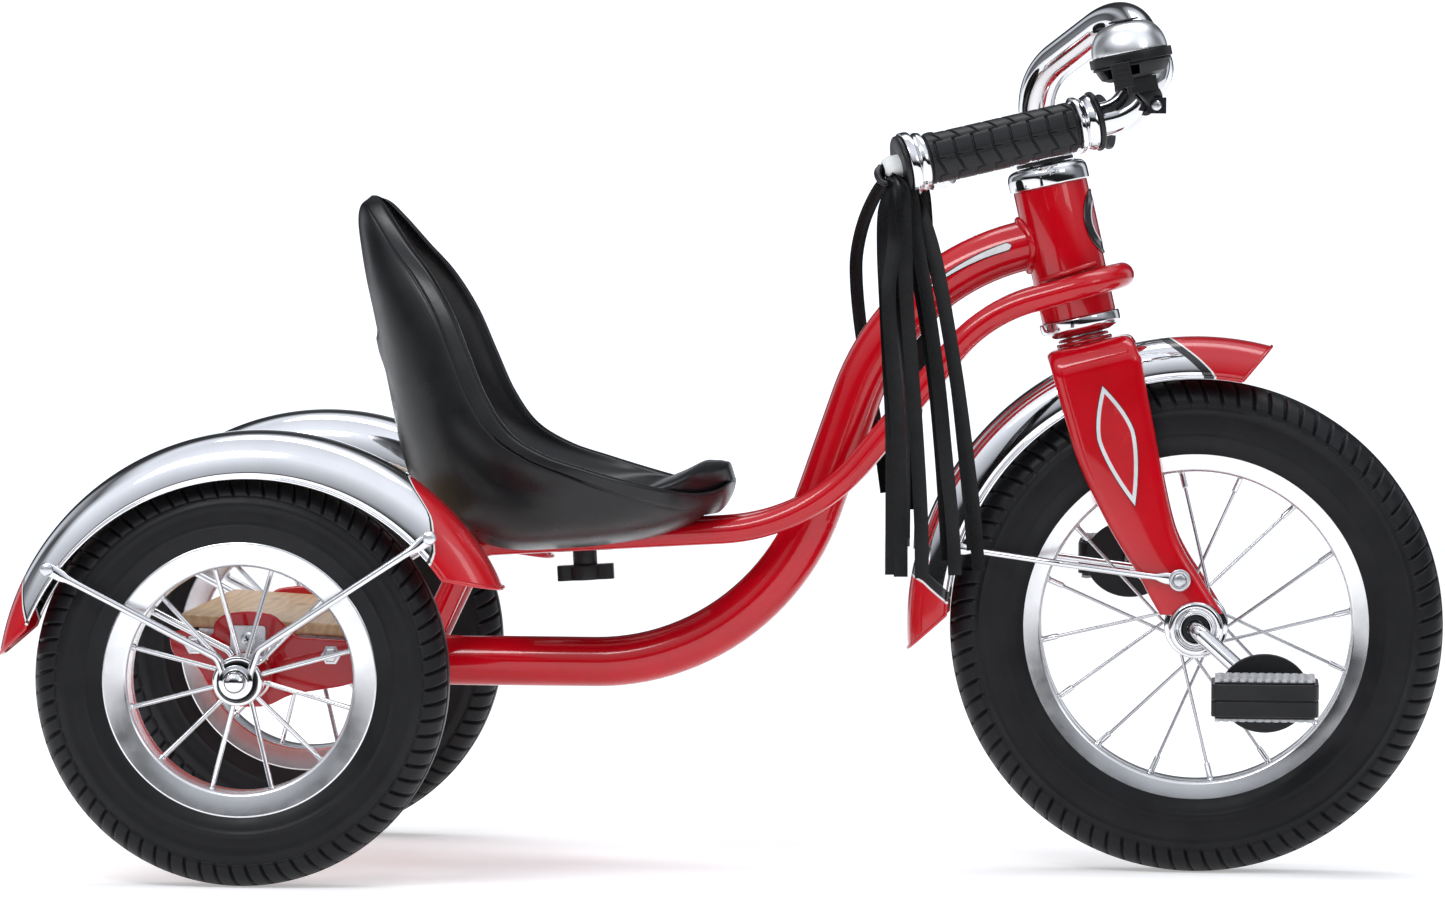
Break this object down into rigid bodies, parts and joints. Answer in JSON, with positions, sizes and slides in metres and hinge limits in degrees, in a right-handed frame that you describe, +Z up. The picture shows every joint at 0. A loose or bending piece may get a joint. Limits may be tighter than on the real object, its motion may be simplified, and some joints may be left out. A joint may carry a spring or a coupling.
{
  "type": "children's tricycle",
  "caption": "Child's pedal tricycle with a curved steel frame, sliding bucket seat, tasselled handlebar, bell, mudguards and a rear standing deck.",
  "frame": {"origin": "on the floor under the middle of the bounding box", "axes": "+X forward towards the steered wheel, +Y to the rider's left, +Z up"},
  "size_m": [0.8985, 0.524, 0.5571],
  "materials": {
    "frame_paint": "gloss red enamel",
    "chrome": "bright plated",
    "zinc": "zinc plated",
    "badge": "enamelled badge with a plated edge",
    "fender": "plated, with red enamel ends and a black and white line",
    "wood": "clear lacquered board",
    "black_plastic": "satin black",
    "seat_plastic": "moulded, satin grain",
    "grip_rubber": "moulded blocks",
    "white_plastic": "white",
    "ribbon": "satin ribbon",
    "bell_metal": "satin brushed",
    "tyre": "moulded tread and ribs",
    "pedal_rubber": "moulded",
    "tread_rubber": "ribbed"
  },
  "bodies": {
    "frame": {"main_tube": "frame_paint", "seat_rails": "frame_paint", "head_tube": "frame_paint", "upper_cup": "chrome", "lower_cup": "chrome", "head_badge": "badge", "rear_gusset": "frame_paint", "axle_carrier": "frame_paint", "rear_axle": "zinc", "axle_nuts": "zinc", "axle_tabs": "zinc", "step_deck": "wood", "deck_rails": "zinc", "deck_caps": "black_plastic", "rear_fender_right": "fender", "rear_fender_left": "fender", "fender_stays_right": "chrome", "fender_stays_left": "chrome", "fender_bolts": "zinc"},
    "steering": {"fork": "frame_paint", "steerer": "zinc", "crown_washers": "frame_paint", "front_fender": "fender", "front_stays": "chrome", "front_bolts": "zinc", "hub_cups": "chrome", "stem_nut": "chrome", "stem_seal": "black_plastic", "handlebar": "chrome", "grip_right": "grip_rubber", "grip_left": "grip_rubber", "grip_rings": "chrome", "grip_flanges": "black_plastic", "grip_plugs": "white_plastic", "tassel_right": "ribbon", "tassel_left": "ribbon", "bell_base": "black_plastic", "bell_clamp": "black_plastic", "bell_dome": "bell_metal", "bell_cap": "black_plastic"},
    "bell_trigger": {"bell_lever": "black_plastic"},
    "front_wheel": {"front_tyre": "tyre", "front_rim": "chrome", "front_spokes": "chrome", "front_hub": "chrome", "crank_axle": "chrome"},
    "right_pedal": {"pedal_right": "pedal_rubber", "pedal_treads_right": "tread_rubber"},
    "left_pedal": {"pedal_left": "pedal_rubber", "pedal_treads_left": "tread_rubber"},
    "right_rear_wheel": {"rear_tyre_right": "tyre", "rear_rim_right": "chrome", "rear_bush_right": "black_plastic"},
    "left_rear_wheel": {"rear_tyre_left": "tyre", "rear_rim_left": "chrome", "rear_bush_left": "black_plastic"},
    "seat": {"seat_shell": "seat_plastic", "seat_bracket": "zinc"},
    "seat_screw": {"seat_knob": "black_plastic"}
  },
  "joints": [
    {"name": "steer", "type": "hinge", "parent": "frame", "child": "steering", "pos_m": [0.21495, 0, 0.354], "axis": [-0.225, 0, 0.9744], "range_deg": [-35, 35]},
    {"name": "front_wheel_spin", "type": "hinge", "parent": "steering", "child": "front_wheel", "pos_m": [0.29175, 0, 0.1575], "axis": [0, 1, 0], "continuous": true},
    {"name": "right_pedal_spin", "type": "hinge", "parent": "front_wheel", "child": "right_pedal", "pos_m": [0.33552, -0.122, 0.11945], "axis": [0, 1, 0], "continuous": true},
    {"name": "left_pedal_spin", "type": "hinge", "parent": "front_wheel", "child": "left_pedal", "pos_m": [0.24798, 0.122, 0.19555], "axis": [0, 1, 0], "continuous": true},
    {"name": "right_rear_wheel_spin", "type": "hinge", "parent": "frame", "child": "right_rear_wheel", "pos_m": [-0.29825, -0.205, 0.129], "axis": [0, 1, 0], "continuous": true},
    {"name": "left_rear_wheel_spin", "type": "hinge", "parent": "frame", "child": "left_rear_wheel", "pos_m": [-0.29825, 0.205, 0.129], "axis": [0, 1, 0], "continuous": true},
    {"name": "seat_slide", "type": "slide", "parent": "frame", "child": "seat", "axis": [0.9981, 0, 0.061], "range_m": [-0.03, 0.02]},
    {"name": "seat_knob_turn", "type": "hinge", "parent": "seat", "child": "seat_screw", "pos_m": [-0.10136, 0, 0.2101], "axis": [-0.061, 0, 0.9981], "range_deg": [-180, 180]},
    {"name": "bell_lever_push", "type": "hinge", "parent": "steering", "child": "bell_trigger", "pos_m": [0.24414, -0.226, 0.51123], "axis": [-0.2079, 0, 0.9781], "range_deg": [-14, 0], "stiffness_Nm_per_rad": 0.06}
  ]
}
